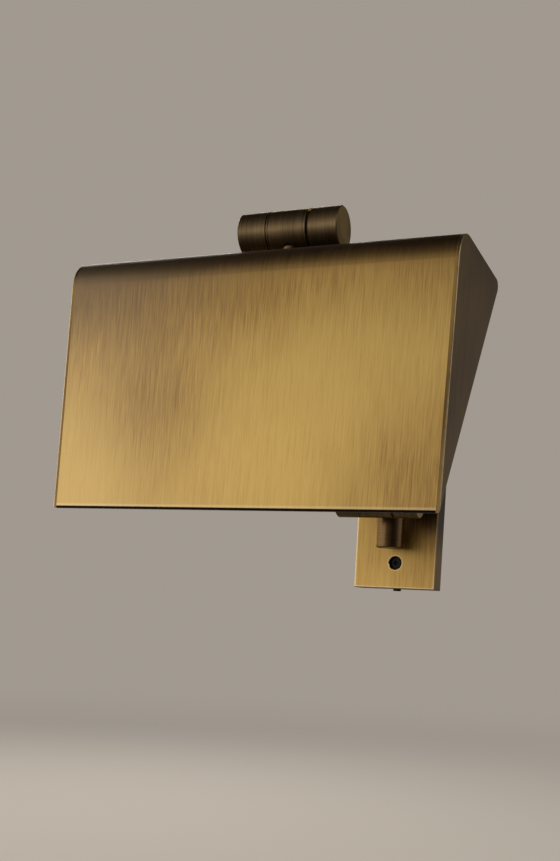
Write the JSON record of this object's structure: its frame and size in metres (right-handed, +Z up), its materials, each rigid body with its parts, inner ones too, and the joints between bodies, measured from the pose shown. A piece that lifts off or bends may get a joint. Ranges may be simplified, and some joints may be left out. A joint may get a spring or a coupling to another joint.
{
  "type": "picture light",
  "caption": "Wall picture light: folded rectangular shade on a jointed arm that swivels, lifts and tilts from a shallow box-shaped wall plate.",
  "frame": {"origin": "middle of the wall plate, on the wall face behind it", "axes": "+X to the right along the wall for a viewer who faces it, +Y into the wall, +Z up; the fitting stands in front of the wall at negative Y"},
  "size_m": [0.215, 0.284, 0.1967],
  "materials": {
    "antique_brass": "brushed and darkened by age, satin",
    "bright_brass": "turned, clean",
    "zinc_steel": "zinc plated",
    "black_screw": "black oxide, slightly oiled",
    "dark_fibre": "pressed fibre, matt",
    "white_paint": "white enamel, satin",
    "black_rubber": "matt",
    "lead_sleeve": "silicone sleeving, matt",
    "white_plastic": "moulded, satin",
    "black_plastic": "moulded, satin",
    "lamp_cap_metal": "drawn, satin",
    "lamp_glass": "clear, smooth",
    "lamp_filament": "phosphor coated strips, matt"
  },
  "bodies": {
    "wall_base": {"backplate_cover": "antique_brass", "wall_bracket": "zinc_steel", "bracket_pillars": "zinc_steel", "cover_saddle": "antique_brass", "cover_screws": "black_screw", "cover_edge_screw": "black_screw", "cable_grommet": "black_rubber", "lead_bush": "white_plastic", "terminal_block": "white_plastic", "terminal_screws": "bright_brass", "earth_screw": "zinc_steel", "earth_tag": "zinc_steel", "barrel_studs": "zinc_steel", "stud_nuts": "zinc_steel", "lower_barrel_end": "antique_brass", "upper_barrel_end": "antique_brass", "swivel_pivot_bolt": "zinc_steel", "swivel_pivot_nut": "zinc_steel", "swivel_disc_spring": "zinc_steel", "swivel_thrust_ring": "bright_brass", "swivel_fibre_washer": "dark_fibre", "swivel_end_plugs": "antique_brass", "wall_lead": "lead_sleeve"},
    "swivel_link": {"swivel_barrel": "antique_brass", "swivel_neck": "antique_brass", "neck_lead": "lead_sleeve", "wall_knuckle_centre": "antique_brass"},
    "arm": {"lower_fork": "antique_brass", "upper_fork": "antique_brass", "arm_tube": "antique_brass", "arm_lead": "lead_sleeve", "knuckle_pivot_bolts": "zinc_steel", "knuckle_pivot_nuts": "zinc_steel", "knuckle_disc_springs": "zinc_steel", "knuckle_thrust_rings": "bright_brass", "knuckle_fibre_washers": "dark_fibre", "knuckle_end_plugs": "antique_brass"},
    "shade_head": {"shade_knuckle_centre": "antique_brass", "knuckle_lock_screw": "zinc_steel", "shade_stem": "antique_brass", "stem_collar": "antique_brass", "stem_washer": "zinc_steel", "stem_nut": "zinc_steel", "shade_panel": "antique_brass", "left_end_plate": "antique_brass", "right_end_plate": "antique_brass", "reflector_liner": "white_paint", "lamp_bracket": "zinc_steel", "lampholder": "black_plastic", "lampholder_shell": "black_plastic", "lampholder_nut": "zinc_steel", "lamp_cap": "lamp_cap_metal", "lamp_glass": "lamp_glass", "lamp_filaments": "lamp_filament", "shade_lead": "lead_sleeve"}
  },
  "joints": [
    {"name": "plate_swivel", "type": "hinge", "parent": "wall_base", "child": "swivel_link", "pos_m": [0, -0.0301, 0], "axis": [0, 0, 1], "range_deg": [-50, 50]},
    {"name": "arm_lift", "type": "hinge", "parent": "swivel_link", "child": "arm", "pos_m": [0, -0.0576, 0], "axis": [-1, 0, 0], "range_deg": [-60, 35]},
    {"name": "shade_tilt", "type": "hinge", "parent": "arm", "child": "shade_head", "pos_m": [0, -0.22618, 0.12639], "axis": [-1, 0, 0], "range_deg": [0, 95]}
  ]
}
